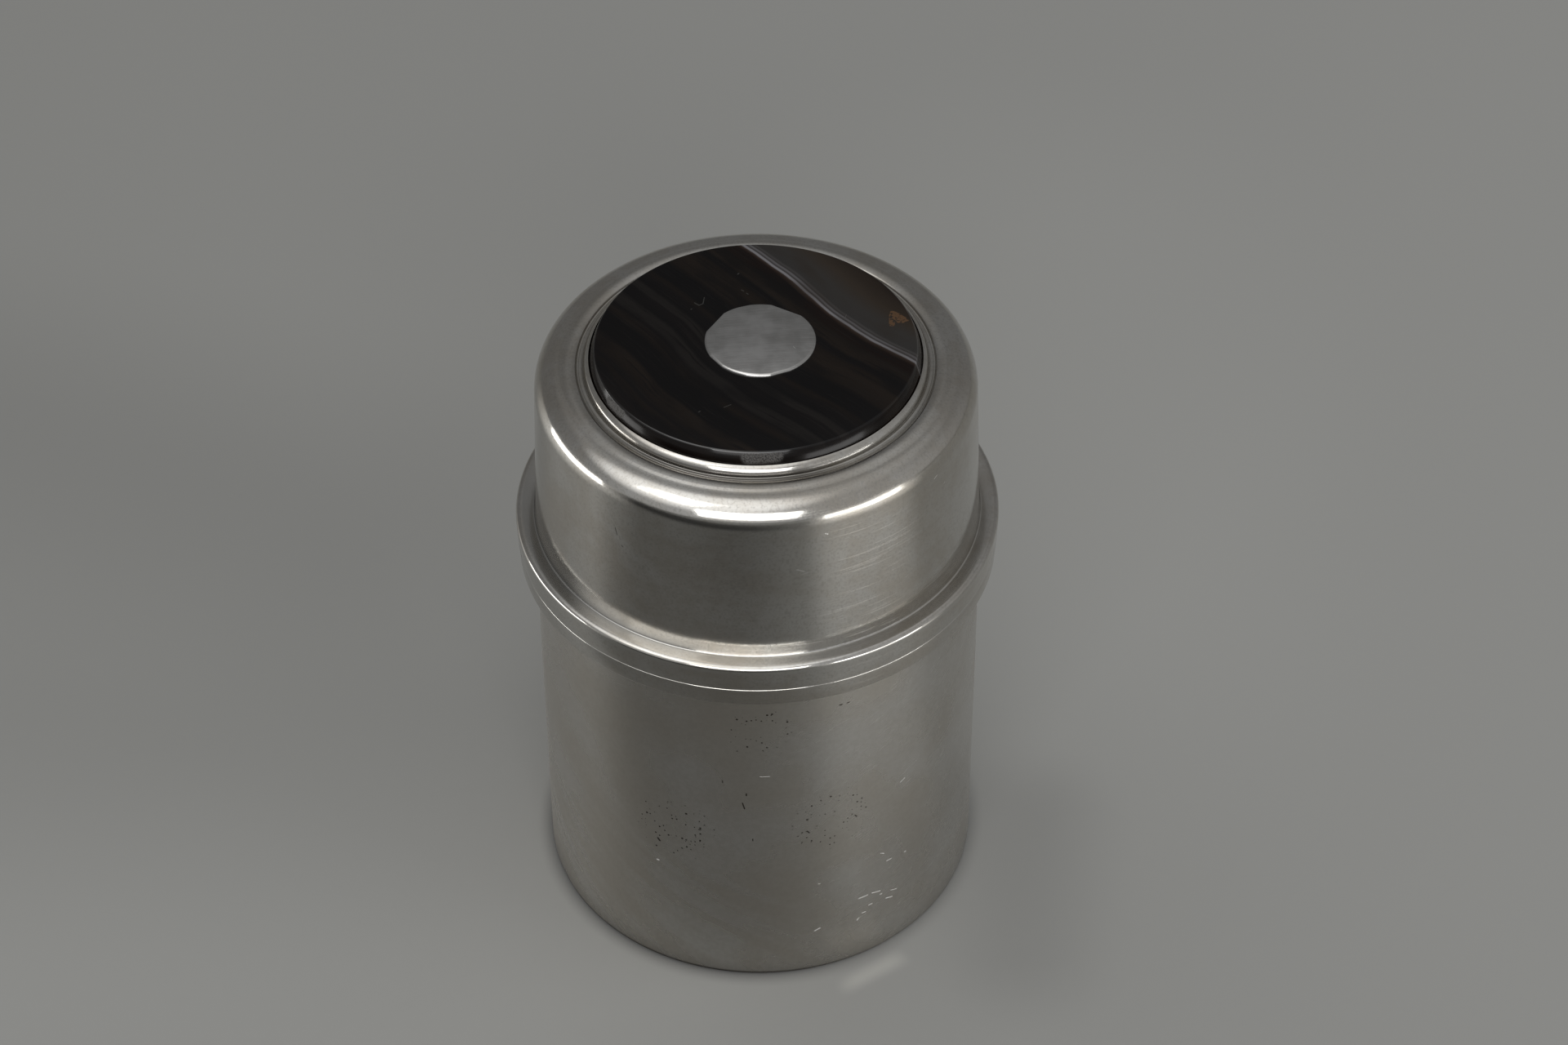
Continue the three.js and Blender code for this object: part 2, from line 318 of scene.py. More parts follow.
def stud():
    """A disc is filed in flats and drawn in to the shank's tail. The tail, shank and head
    are then drawn upwards, and the head's edge is rounded over and its top domed."""
    tail_z = TAIL_TOP_Z - TAIL_THICKNESS
    undercut = 0.1
    first_ring((STUD_R, tail_z), STUD_SIDES, "NGON")
    for degrees, distance in STUD_FLATS:
        way = Vector((cos(radians(degrees)), sin(radians(degrees)), 0))
        bpy.ops.mesh.select_all(action="SELECT")
        bpy.ops.mesh.bisect(
            plane_co=way * distance * MM, plane_no=way, clear_outer=True)
    bpy.ops.mesh.select_all(action="SELECT")
    drawn_in = SHANK_R / STUD_R
    bpy.ops.transform.resize(value=(drawn_in, drawn_in, 1), center_override=(0, 0, 0))
    dome_z = STUD_TOP_Z - STUD_DOME
    draw_rings([
        (SHANK_R, tail_z),
        *arc(SHANK_R, TAIL_TOP_Z, TAIL_R - SHANK_R, TAIL_THICKNESS, -90, 0, 6)[1:],
        (SHANK_R, TAIL_TOP_Z),
        (SHANK_R, STONE_TOP_Z),
        (STUD_R - undercut, STONE_TOP_Z),
        *arc(STUD_R - STUD_EDGE, dome_z - STUD_EDGE, STUD_EDGE, STUD_EDGE, 0, 90, 8),
        *[(STUD_R * part, STUD_TOP_Z - STUD_DOME * part * part)
          for part in (0.86, 0.72, 0.58, 0.44, 0.30, 0.15)],
        (0, STUD_TOP_Z),
    ])
    bpy.ops.mesh.select_all(action="SELECT")
    bpy.ops.transform.translate(value=(STUD_X * MM, STUD_Y * MM, 0))
    return finish_piece("stud", smooth_below=40)


# Finishes

class Wire:
    """One output of a shader node. Sums written with wires add their own Math nodes."""

    def __init__(self, tree, output=None):
        self.tree = tree
        self.output = output

    def node(self, kind, settings=None, inputs=None, output=0):
        """Adds any other node: its settings first, then a value or wire for each input."""
        new = self.tree.nodes.new(kind)
        for key, value in (settings or {}).items():
            if key == "stops":
                ramp = new.color_ramp.elements
                while len(ramp) < len(value):
                    ramp.new(1)
                for stop, (place, colour) in zip(ramp, value):
                    stop.position = place
                    stop.color = colour
            else:
                setattr(new, key, value)
        for key, value in (inputs or {}).items():
            if isinstance(value, Wire):
                self.tree.links.new(value.output, new.inputs[key])
            else:
                new.inputs[key].default_value = value
        return Wire(self.tree, new.outputs[output] if new.outputs else None)

    def math(self, operation, *values):
        return self.node("ShaderNodeMath", {"operation": operation}, dict(enumerate(values)))

    def __add__(self, other):
        return self.math("ADD", self, other)

    def __radd__(self, other):
        return self.math("ADD", other, self)

    def __sub__(self, other):
        return self.math("SUBTRACT", self, other)

    def __rsub__(self, other):
        return self.math("SUBTRACT", other, self)

    def __mul__(self, other):
        return self.math("MULTIPLY", self, other)

    def __rmul__(self, other):
        return self.math("MULTIPLY", other, self)

    def __truediv__(self, other):
        return self.math("DIVIDE", self, other)

    def __rtruediv__(self, other):
        return self.math("DIVIDE", other, self)

    def __pow__(self, other):
        return self.math("POWER", self, other)

    def larger(self, other):
        return self.math("MAXIMUM", self, other)

    def between(self, low, high):
        """0 at low and 1 at high, with a soft start and end."""
        return self.node("ShaderNodeMapRange", {"interpolation_type": "SMOOTHSTEP"},
                         {"Value": self, "From Min": low, "From Max": high})

    def colour(self, first, second):
        """A colour from first, where this is 0, to second, where it is 1."""
        return self.node("ShaderNodeMix", {"data_type": "RGBA"},
                         {0: self, 6: first, 7: second}, 2)

    def vector(self, operation, inputs, output=0):
        return self.node("ShaderNodeVectorMath", {"operation": operation}, inputs, output)


def rgb(red, green, blue):
    return (red, green, blue, 1)


def grey(level, warmth=0.0):
    return rgb(level * (1 + warmth), level, level * (1 - 1.6 * warmth))


def new_material(name):
    material = bpy.data.materials.new(name)
    material.use_nodes = True
    material.node_tree.nodes.clear()
    return material, Wire(material.node_tree)


def way_out(azimuth, elevation=0):
    """The direction that faces that azimuth, 0 in front and 90 to the right, and rises by
    that elevation."""
    turn, rise = radians(azimuth), radians(elevation)
    return Vector((sin(turn) * cos(rise), -cos(turn) * cos(rise), sin(rise)))


def on_side(azimuth, height):
    """A point on the wall of the box or of the lid."""
    if height < SEAT_Z:
        climbed = height / RIM_BOTTOM_Z
        radius = WALL_FOOT_R + (WALL_TOP_R - WALL_FOOT_R) * climbed
    else:
        climbed = (height - LID_BOTTOM_Z) / (SHOULDER_Z - LID_BOTTOM_Z)
        radius = LID_FOOT_R + (SHOULDER_R - LID_FOOT_R) * climbed
    return way_out(azimuth) * radius + Vector((0, 0, height))


class Place:
    """Where a point lies on the object, in millimetres, as wires for the patterns."""

    def __init__(self, start):
        metres = start.node("ShaderNodeTexCoord", output="Object")
        self.point = start.vector("SCALE", {0: metres, "Scale": 1 / MM})
        self.x, self.y, self.z = [
            start.node("ShaderNodeSeparateXYZ", {}, {0: self.point}, axis)
            for axis in range(3)]
        self.out = (self.x * self.x + self.y * self.y) ** 0.5

    def at(self, x, y, z=0.0):
        return self.point.node("ShaderNodeCombineXYZ", {}, {0: x, 1: y, 2: z})

    def noise(self, size, detail, roughness, point=None, distortion=0.0):
        """Soft noise whose blobs are about that many millimetres across."""
        return self.point.node("ShaderNodeTexNoise", {}, {
            "Vector": point or self.point, "Scale": 1 / size, "Detail": detail,
            "Roughness": roughness, "Distortion": distortion})

    def turning(self, spacing, length, detail):
        """Marks that run round the axis: that far apart, and that long on the wall."""
        wall_r = 40
        turn = wall_r / length
        return self.noise(1, detail, 0.6, self.at(
            self.x / self.out * turn, self.y / self.out * turn,
            (self.z - self.out) / spacing))

    def unrolled(self):
        """How far round the outer wall, from the front to the right."""
        return self.x.math("ARCTAN2", self.x, 0 - self.y) * WALL_FOOT_R

    def slanted(self, climb, spacing, length, detail):
        """Marks on the outer wall that climb to the right at that slope."""
        turn = self.unrolled()
        along, across = cos(atan(climb)), sin(atan(climb))
        return self.noise(1, detail, 0.6, self.at(
            (self.z * along - turn * across) / spacing,
            (turn * along + self.z * across) / length))

    def pitting(self, size):
        """Small round pits on the outer wall, about one to a square of that size. The
        square's own random colour says how wide its pit is, down to none."""
        cell = {"voronoi_dimensions": "2D"}, {
            "Vector": self.at(self.unrolled(), self.z), "Scale": 1 / size}
        off = self.point.node("ShaderNodeTexVoronoi", *cell, "Distance")
        pick = self.point.node("ShaderNodeTexVoronoi", *cell, "Color")
        pick = self.point.node("ShaderNodeSeparateColor", {}, {0: pick})
        return (pick * 0.42 - 0.12 - off).between(0, 0.10)

    def toward(self, azimuth, low, high):
        """0 to 1 round the axis, up to the side that faces that azimuth. Low and high are
        cosines of the angle from it."""
        turn = radians(azimuth)
        return ((self.x * sin(turn) - self.y * cos(turn)) / self.out).between(low, high)

    def ring(self, radius, height, reach):
        """1 on a turned edge, fading out at that distance from it."""
        off = ((self.out - radius) ** 2 + (self.z - height) ** 2) ** 0.5
        return off.between(reach, 0)

    def stroke(self, start, end, width):
        """1 on a straight mark from start to end, points in millimetres."""
        run = Vector(end) - Vector(start)
        off = self.point.vector("SUBTRACT", {0: self.point, 1: start})
        along = off.vector(
            "DOT_PRODUCT", {0: off, 1: run / max(run.length_squared, 1e-9)}, "Value")
        along = along.node("ShaderNodeClamp", {}, {"Value": along})
        drop = along.vector("SCALE", {0: run, "Scale": along})
        rest = off.vector("SUBTRACT", {0: off, 1: drop})
        return rest.vector("LENGTH", {0: rest}, "Value").between(width / 2, 0)

    def near(self, azimuth, height, reach):
        """1 at a point on the outer wall, fading out at that distance from it."""
        spot = on_side(azimuth, height)
        return self.stroke(spot, spot, reach * 2)

    def marks(self, strokes):
        """All of these marks together, each one a start, an end and a width."""
        drawn = [self.stroke(*stroke) for stroke in strokes]
        total = drawn[0]
        for mark in drawn[1:]:
            total = total.larger(mark)
        return total

    def side_marks(self, rows):
        """Marks on the walls, from rows of azimuth, height, azimuth, height and width."""
        return self.marks([(on_side(azimuth, height), on_side(end_azimuth, end_height), width)
                           for azimuth, height, end_azimuth, end_height, width in rows])

    def top_marks(self, height, rows):
        """Marks at that height on the lid's top, from rows of x, y, x, y and width."""
        return self.marks([((x, y, height), (end_x, end_y, height), width)
                           for x, y, end_x, end_y, width in rows])


def metal(start, colour, roughness, height, drawn):
    """Bare metal with a relief in millimetres. Drawn says how far its shine spreads across
    the turning marks."""
    bump = start.node("ShaderNodeBump", {}, {
        "Strength": 1.0, "Distance": MM, "Height": height})
    shader = start.node("ShaderNodeBsdfPrincipled", {}, {
        "Base Color": colour, "Metallic": 1.0, "Roughness": roughness,
        "Anisotropic": drawn, "Anisotropic Rotation": 0.25, "Normal": bump})
    start.node("ShaderNodeOutputMaterial", {}, {"Surface": shader})


CLEAN = rgb(0.600, 0.588, 0.560)
TARNISHED = rgb(0.500, 0.470, 0.422)
SPECK = rgb(0.40, 0.385, 0.355)
WARM_SPECK = rgb(0.40, 0.375, 0.335)
# The shelf's darker tone: patina in its hollow, and painted shade on the left
SHELF_PATINA_AND_SHADE = rgb(0.400, 0.395, 0.380)
# The recess's darker tone: patina in the hollow, and painted shade in front
RECESS_PATINA_AND_SHADE = rgb(0.230, 0.220, 0.205)
# Dark grime in pits, also used for painted shade under the foot
GRIME_AND_SHADE = rgb(0.090, 0.078, 0.066)
# Paler than bare pewter: bare metal in nicks and wipe marks, with a painted glint
BARE_AND_GLINT = rgb(0.940, 0.930, 0.910)
FILED, FILED_DULL = rgb(0.600, 0.594, 0.585), rgb(0.415, 0.409, 0.397)

# Marks on the side: azimuth and height at both ends, and width
LID_NICKS = [
    (17.6, 110.9, 18.1, 110.7, 0.45), (10.2, 103.9, 12.0, 103.3, 0.42),
    (11.2, 102.6, 13.0, 102.9, 0.32), (46, 104.0, 56, 108.7, 0.22),
    (-33, 95.5, -32, 95.2, 0.40), (-52, 93.6, -51, 93.3, 0.35),
    (51.5, 111.6, 52.6, 111.9, 0.35), (-48.2, 84.9, -47.4, 84.7, 0.9),
]
LID_PITS = [
    (-37.6, 106.7, -37.0, 105.3, 0.30), (-35.6, 103.4, -35.2, 103.2, 0.35),
    (-34.4, 102.2, -34.1, 102.0, 0.30), (-20.1, 96.6, -19.9, 96.4, 0.28),
    (28.5, 92.2, 28.8, 92.0, 0.30), (3.2, 94.4, 3.4, 94.2, 0.26),
]
WALL_NICKS = [
    (-27.5, 27.5, -27, 27.5, 0.55), (27, 16.5, 29.5, 16.5, 0.46), (31, 16.5, 33.5, 16, 0.38),
    (33.5, 15, 34, 15, 0.42), (35.5, 13, 37.5, 12.5, 0.42), (37, 14.5, 39, 14, 0.30),
    (30, 13.5, 31, 13.5, 0.34), (28, 12, 29, 12, 0.38), (26.5, 10.5, 27, 11, 0.32),
    (14.5, 11, 16, 11.5, 0.38), (15.5, 24, 16, 24, 0.28), (33.5, 26.5, 34.5, 26, 0.30),
    (35.5, 23.5, 37, 23.5, 0.34), (41.5, 23, 42, 23, 0.36), (39.5, 43, 41, 43.5, 0.26),
    (0.5, 54.5, 3, 54.5, 0.18),
]
WALL_PITS = [
    (-27, 33.5, -26.5, 33, 0.65), (21, 70, 21.5, 70, 0.50), (23, 70, 23.5, 70, 0.40),
    (-3, 50, -3, 49.5, 0.42), (-4, 47.5, -3.5, 46, 0.38), (-1.5, 38, -1.5, 37.5, 0.32),
    (12.5, 39, 13, 38.5, 0.42), (25.5, 40, 26, 39.5, 0.38), (-15.5, 39, -15, 39, 0.38),
    (-9, 53, -9, 52.5, 0.30),
]
# The way the file's lines run, and marks on top: x and y at both ends, and width
FILED_X, FILED_Y = 0.995, 0.10
STUD_NICKS = [
    (1.6, 0.6, 2.6, 1.4, 0.18), (3.4, 0.9, 3.7, 0.7, 0.25), (6.6, -1.4, 6.9, -1.8, 0.22),
    (-3.0, 3.4, -1.8, 3.6, 0.14),
]


def turned_pewter(name):
    """Turned and hand-rubbed pewter. Fine marks run round the axis, with broad soft
    clouds of patina, worn bright on the edges, pitted and nicked in places. The nicks
    are painted paler than bare pewter, as painted glints, and the shelf and the recess
    round the bezel are painted darker on one side, as painted shade."""
    material, start = new_material(name)
    place = Place(start)
    clouds = place.noise(18, 3, 0.5, distortion=0.5)
    mottling = place.noise(2.6, 3, 0.6)
    grain = place.noise(0.48, 2, 0.6)
    fine = place.turning(0.30, 9, 2)
    broad = place.turning(1.3, 30, 2)
    ripple = place.turning(7.0, 60, 1)
    brushed = place.turning(0.42, 14, 1).between(0.56, 0.70) * place.toward(36, 0.80, 0.97)
    tarnish = (clouds * 0.62 + mottling * 0.26 + broad * 0.12).between(0.36, 0.64)
    colour = tarnish.colour(CLEAN, TARNISHED)
    colour = (grain.between(0.48, 0.68) * 0.42).colour(colour, SPECK)

    # The shelf is darker: a little all round, patina in its hollow, and more on the left,
    # where it is painted shade
    on_shelf = place.ring(COVE_FOOT_R + 0.75, SHELF_CREST_Z + 0.05, 2.0).between(0, 0.5)
    on_left = 0.15 + place.toward(-62, 0.45, 0.90) * 0.60
    colour = (on_shelf * on_left).colour(colour, SHELF_PATINA_AND_SHADE)
    # The recess round the bezel is darker: a little all round, patina in the hollow, and most
    # of all in front, where it is painted shade for the dark table that it would reflect
    in_recess = (place.z.between(CROWN_Z + 1.35, CROWN_Z + 0.85)
                 * place.out.between(STONE_R + 0.85, STONE_R + 1.05)
                 * place.out.between(BEZEL_R + 1.25, BEZEL_R + 0.65))
    in_front = 0.12 + place.toward(-12, 0.72, 0.96) * 0.88
    colour = (in_recess * in_front).colour(colour, RECESS_PATINA_AND_SHADE)

    worn = (place.ring(FLANGE_R, SHELF_CREST_Z - SHELF_EDGE, 0.9)
            + place.ring(RIM_R, SEAT_Z - 0.2, 0.5)
            + place.ring(FLANGE_FOOT_R, SEAT_Z + 0.2, 0.5)) * mottling.between(0.35, 0.6)
    colour = (worn * 0.7).colour(colour, CLEAN)
    nicks, pits = place.side_marks(LID_NICKS), place.side_marks(LID_PITS)
    colour = pits.between(0, 0.6).colour(colour, GRIME_AND_SHADE)
    # The nicks are painted paler than bare pewter: bare metal, and a painted glint
    colour = (nicks * 0.8).colour(colour, BARE_AND_GLINT)

    roughness = 0.115 + tarnish * 0.05 + (fine - 0.5) * 0.05 + brushed * 0.10 + nicks * 0.2
    height = (fine * 0.0013 + broad * 0.0016 + ripple * 0.005 + grain * 0.0044
              + brushed * 0.0042 - pits * 0.02)
    metal(start, colour, roughness, height, 0.55)
    return material


def satin_pewter(name):
    """The wall of the box, rubbed dull. Its patina is warmer in front and on the left,
    and it is pitted and scratched in clusters. Its scratches and wipe marks are painted
    paler than bare pewter, as painted glints, and the rounding under the foot is painted
    dark, as painted shade."""
    material, start = new_material(name)
    place = Place(start)
    clouds = place.noise(17, 1, 0.4)
    smudges = place.noise(6, 1, 0.4)
    mottling = place.noise(1.1, 3, 0.65)
    grain = place.noise(0.35, 2, 0.6)
    fine = place.turning(0.22, 9, 2)
    ripple = place.turning(9.0, 70, 1)
    left, right = place.toward(-38, 0.45, 0.95), place.toward(42, 0.70, 0.97)
    rubbed = place.slanted(-0.60, 3.4, 55, 1).between(0.36, 0.64)
    rubbed = (rubbed - 0.5) * left * (38 - place.z).between(0, 14)
    # Wipe marks, only on the right where the light catches them; their paler colour is a
    # painted glint
    wiped_glint = place.slanted(0.42, 0.30, 7, 2).between(0.60, 0.80) * right
    tarnish = (clouds * 0.75 + smudges * 0.25 - rubbed * 0.16 + left * 0.05
               - right * 0.05).between(0.24, 0.76)
    colour = tarnish.colour(CLEAN, TARNISHED)
    colour = (mottling.between(0.38, 0.64) * 0.20).colour(colour, WARM_SPECK)
    colour = (grain.between(0.50, 0.70) * 0.12).colour(colour, WARM_SPECK)
    colour = (wiped_glint * 0.25).colour(colour, BARE_AND_GLINT)

    crowd = place.noise(2.4, 2, 0.6).between(0.44, 0.58)
    pitted = (place.near(-22, 37.5, 11) + place.near(0, 66, 9) * 0.9
              + place.near(19, 41, 12) * 0.6).between(0.05, 0.40)
    pits = (place.pitting(0.90) * crowd * pitted).larger(place.side_marks(WALL_PITS))
    nicks = place.side_marks(WALL_NICKS)
    colour = pits.between(0, 0.6).colour(colour, GRIME_AND_SHADE)
    # The scratches are painted paler than bare pewter: bare metal, and a painted glint
    colour = nicks.between(0, 0.7).colour(colour, BARE_AND_GLINT)

    # Painted shade where the foot is rounded under, most of all at the front left
    under_foot = place.ring(WALL_FOOT_R - FOOT_EDGE / 4, 0.15, 1.2).between(0, 0.7)
    foot_shade = 0.35 + place.toward(-36, 0.30, 0.90) * 0.60
    colour = (under_foot * foot_shade).colour(colour, GRIME_AND_SHADE)

    roughness = 0.25 + tarnish * 0.04 + wiped_glint * 0.06 + nicks * 0.30
    height = fine * 0.0005 + ripple * 0.004 + grain * 0.0012 + wiped_glint * 0.0008 - pits * 0.02
    metal(start, colour, roughness, height, 0.55)
    return material


def brushed_pewter(name):
    """The stud's head, filed by hand: its brush lines run nearly straight across."""
    material, start = new_material(name)
    place = Place(start)
    along = place.x * FILED_X + place.y * FILED_Y
    across = place.y * FILED_X - place.x * FILED_Y
    lines = place.noise(1, 3, 0.65, place.at(along / 7, across / 0.22))
    clouds = place.noise(4, 2, 0.5)
    ragged = place.noise(0.7, 2, 0.6)
    tarnish = (clouds * 0.6 + lines * 0.4).between(0.34, 0.66)
    nicks = place.top_marks(STUD_TOP_Z - 0.1, STUD_NICKS)
    # Its nicks are painted paler than bare pewter: bare metal, and a painted glint
    colour = (nicks * 0.6).colour(tarnish.colour(FILED, FILED_DULL), BARE_AND_GLINT)
    roughness = 0.17 + lines * 0.08 + nicks * 0.2
    metal(start, colour, roughness, lines * 0.0046 + ragged * 0.004, 0.3)
    return material


def spun_pewter(name):
    """The inside, dull as it was spun."""
    material, start = new_material(name)
    place = Place(start)
    clouds = place.noise(12, 3, 0.6)
    spun = place.turning(0.5, 40, 3)
    colour = clouds.colour(grey(0.50, 0.02), grey(0.42, 0.05))
    metal(start, colour, 0.40 + clouds * 0.12, spun * 0.01, 0.4)
    return material


BLACK = rgb(0.0014, 0.0010, 0.0012)
DUSK = rgb(0.0028, 0.0019, 0.0020)
SEPIA = rgb(0.0060, 0.0038, 0.0026)
PALE_SEPIA = rgb(0.0095, 0.0062, 0.0042)
SMOKE = rgb(0.0082, 0.0069, 0.0062)
UMBER = rgb(0.0045, 0.0016, 0.0008)
VEIL = rgb(0.0200, 0.0140, 0.0095)
OCHRE = rgb(0.0900, 0.0500, 0.0260)
SCUFFED = rgb(0.055, 0.053, 0.050)
GROUND_EDGE = rgb(0.0040, 0.0022, 0.0015)
# Pale grey for the rough patches: ground stone, and partly a painted reflection
CHALKY_AND_REFLECTION = rgb(0.0800, 0.0760, 0.0720)

# The way across the stone's bands, then how far across each one lies and its colour
ACROSS_X, ACROSS_Y = 0.741, 0.672
DARK_BANDS = [
    (-30, SEPIA), (-24.0, DUSK), (-22.5, SEPIA), (-21.7, DUSK), (-20.3, SEPIA),
    (-18.0, PALE_SEPIA), (-17.3, BLACK), (-13.4, BLACK), (-12.2, SEPIA), (-10.6, DUSK),
    (-9.9, SMOKE), (-8.2, SMOKE), (-7.5, BLACK), (-6.2, DUSK), (-5.2, DUSK),
    (-4.9, SMOKE), (-3.8, SMOKE), (-3.1, BLACK), (-1.4, DUSK), (-0.2, SEPIA),
    (0.5, BLACK), (3.6, BLACK), (4.6, SEPIA), (7.5, PALE_SEPIA), (9.3, SEPIA),
    (9.9, DUSK), (10.9, BLACK), (11.7, PALE_SEPIA), (13.6, SEPIA), (14.5, UMBER),
    (16.0, UMBER),
]
PALE_BANDS = [
    (15.0, UMBER), (16.0, UMBER), (16.35, rgb(0.0120, 0.0060, 0.0040)),
    (16.75, rgb(0.0300, 0.0200, 0.0150)), (16.95, rgb(0.1650, 0.1600, 0.1680)),
    (17.3, rgb(0.1650, 0.1610, 0.1700)), (17.45, rgb(0.0460, 0.0420, 0.0420)),
    (17.70, rgb(0.0440, 0.0410, 0.0410)), (17.85, rgb(0.0900, 0.0860, 0.0890)),
    (18.1, rgb(0.0880, 0.0840, 0.0870)), (18.3, rgb(0.0280, 0.0255, 0.0245)),
    (18.7, rgb(0.0460, 0.0430, 0.0420)), (19.1, rgb(0.0260, 0.0245, 0.0235)),
    (22.0, rgb(0.0275, 0.0250, 0.0230)), (25.0, rgb(0.0275, 0.0205, 0.0150)),
    (30.0, rgb(0.0080, 0.0045, 0.0028)),
]
# Marks on the stone's top: x and y at both ends, and width
OCHRE_SPOTS = [
    (24.3, 8.6, 26.4, 6.6, 1.7), (24.1, 8.0, 24.0, 5.4, 1.5), (24.2, 6.4, 26.0, 6.4, 1.7),
]
SCUFFS = [
    (-10.9, 11.6, -10.1, 10.9, 0.32), (-10.1, 10.9, -9.4, 11.4, 0.32),
    (-9.4, 11.4, -9.2, 13.1, 0.28), (-11.5, 9.8, -11.4, 9.9, 0.35),
    (-3.3, 19.7, -3.1, 19.9, 0.40), (-2.6, 15.2, -2.2, 14.9, 0.30),
    (-1.7, 14.3, -1.4, 14.0, 0.30), (-5.4, -16.8, -4.2, -16.1, 0.25),
    (22.2, -18.9, 23.2, -16.6, 0.30), (15.7, 6.9, 16.0, 8.1, 0.30),
    (-9.7, -18.0, -9.5, -17.8, 0.35),
]
# Rough patches on its steep edge, painted pale, partly as a painted reflection: a point at
# each end, and width
ROUGH_PATCHES = [
    ((-1.2, -28.9, STONE_TOP_Z - 0.9), (3.6, -28.7, STONE_TOP_Z - 0.7), 3.6),
    ((-25.0, -13.9, STONE_TOP_Z - 0.8), (-23.0, -16.9, STONE_TOP_Z - 0.8), 3.0),
]


def banding(across, bands):
    """Colours that change from band to band across the stone."""
    low, high = bands[0][0], bands[-1][0]
    stops = [((place - low) / (high - low), colour) for place, colour in bands]
    return across.node("ShaderNodeValToRGB", {"stops": stops},
                       {"Fac": (across - low) / (high - low)})


def agate_bands(place):
    """Near-black with smoky brown stripes and a white double band, beyond which it is grey
    and looks translucent. The bands run from the back left to the front right."""
    across = place.x * ACROSS_X + place.y * ACROSS_Y
    along = place.x * ACROSS_Y - place.y * ACROSS_X
    # The bands bend a little in the middle, and most towards the front left
    wander = place.noise(7, 2, 0.5)
    lean = 1 - across.between(-8, 14)
    sway = (along + lean * 4).between(-12, 5) * (1.5 + lean * 1.0)
    across = across + sway - along.between(9, 25) * 1.8 + (wander - 0.5) * 0.7
    threads = place.noise(1, 3, 0.65, place.at(across / 0.55, along / 14))
    veil = place.noise(1, 2, 0.5, place.at(across / 5, along / 16))
    dark = (threads.between(0.50, 0.72) * 0.45).colour(banding(across, DARK_BANDS), SMOKE)
    dark = (1 - threads.between(0.30, 0.48)).colour(dark, DUSK)
    dark = (veil.between(0.46, 0.66) * 0.7).colour(dark, BLACK)
    pale = (veil.between(0.45, 0.70) * 0.5).colour(banding(across, PALE_BANDS), VEIL)
    return across.between(15.7, 16.1).colour(dark, pale)


def agate(name):
    """The stone, flecked and scuffed here and there on its polished top. The steep edge
    below is duller, and rough in two places, which are painted pale: rough ground stone,
    and partly a painted reflection."""
    material, start = new_material(name)
    place = Place(start)
    colour = agate_bands(place)
    flecked = (place.top_marks(STONE_TOP_Z, OCHRE_SPOTS).between(0.10, 0.35)
               * (1 - place.noise(0.55, 1, 0.5).between(0.54, 0.62)))
    colour = (flecked * 0.9).colour(colour, OCHRE)
    scuffs = place.top_marks(STONE_TOP_Z, SCUFFS)
    colour = (scuffs * 0.7).colour(colour, SCUFFED)

    below_top = STONE_TOP_Z - place.z
    edge = below_top.between(0.15, 0.40)
    scratchy = place.noise(1, 2, 0.6, place.at(
        place.x / 0.28, place.y / 0.28, (place.z + place.x * 0.5) / 0.22))
    rough = place.marks(ROUGH_PATCHES).between(0.0, 0.55) * edge
    colour = (edge * 0.6).colour(colour, GROUND_EDGE)
    # The rough patches are painted pale: ground stone, and partly a painted reflection of the
    # lamps
    colour = (rough * scratchy.between(0.30, 0.62)).colour(colour, CHALKY_AND_REFLECTION)

    # The rounding between the top and the edge shines, most of all at the front left
    lit = below_top.between(0.30, 0.22) * below_top.between(0.0, 0.02)
    shader = start.node("ShaderNodeBsdfPrincipled", {}, {
        "Base Color": colour, "Roughness": 0.07 + scuffs * 0.3 + edge * 0.08 + rough * 0.3,
        "IOR": 1.53, "Specular IOR Level": 0.2,
        "Coat Weight": lit * (0.3 + place.toward(-30, 0.6, 0.95) * 0.7),
        "Coat Roughness": 0.06})
    start.node("ShaderNodeOutputMaterial", {}, {"Surface": shader})
    return material


def cement(name):
    material, start = new_material(name)
    grit = Place(start).noise(0.4, 4, 0.7)
    bump = start.node("ShaderNodeBump", {}, {
        "Strength": 1.0, "Distance": MM, "Height": grit * 0.15})
    shader = start.node("ShaderNodeBsdfPrincipled", {}, {
        "Base Color": grit.colour(rgb(0.22, 0.18, 0.14), rgb(0.35, 0.31, 0.25)),
        "Roughness": 0.9, "Normal": bump})
    start.node("ShaderNodeOutputMaterial", {}, {"Surface": shader})
    return material


# Stage. Sizes from here on are in metres, and patterns still in millimetres

TABLE_R = 6
TABLE_LEFT, TABLE_RIGHT = rgb(0.288, 0.288, 0.276), rgb(0.314, 0.314, 0.302)
TABLE_LIT, TABLE_DIM = rgb(0.420, 0.420, 0.404), rgb(0.16, 0.16, 0.155)
UNDER_FOOT, STREAK = grey(0.06), rgb(0.50, 0.49, 0.46)
IN_SHADE, WINDOW_LIGHT = grey(0.02), rgb(1.0, 0.98, 0.94)

# The room: its far and near walls and ceiling, the light in it, and the lens's backdrop
FAR_WALL, NEAR_WALL, CEILING = grey(0.155), grey(0.44), grey(0.64)
CEILING_LIGHT, EVEN_LIGHT = grey(1.40, 0.005), grey(0.56)
BACKDROP = rgb(0.20, 0.20, 0.195)
LAMP_AIM_Z = 0.1

CAMERA_PLACE = (0.00484, -0.4734, 0.5159)
CAMERA_TILT, CAMERA_ROLL = 47.29, -0.208
FILM_WIDTH, FOCAL_LENGTH = 36, 80.625


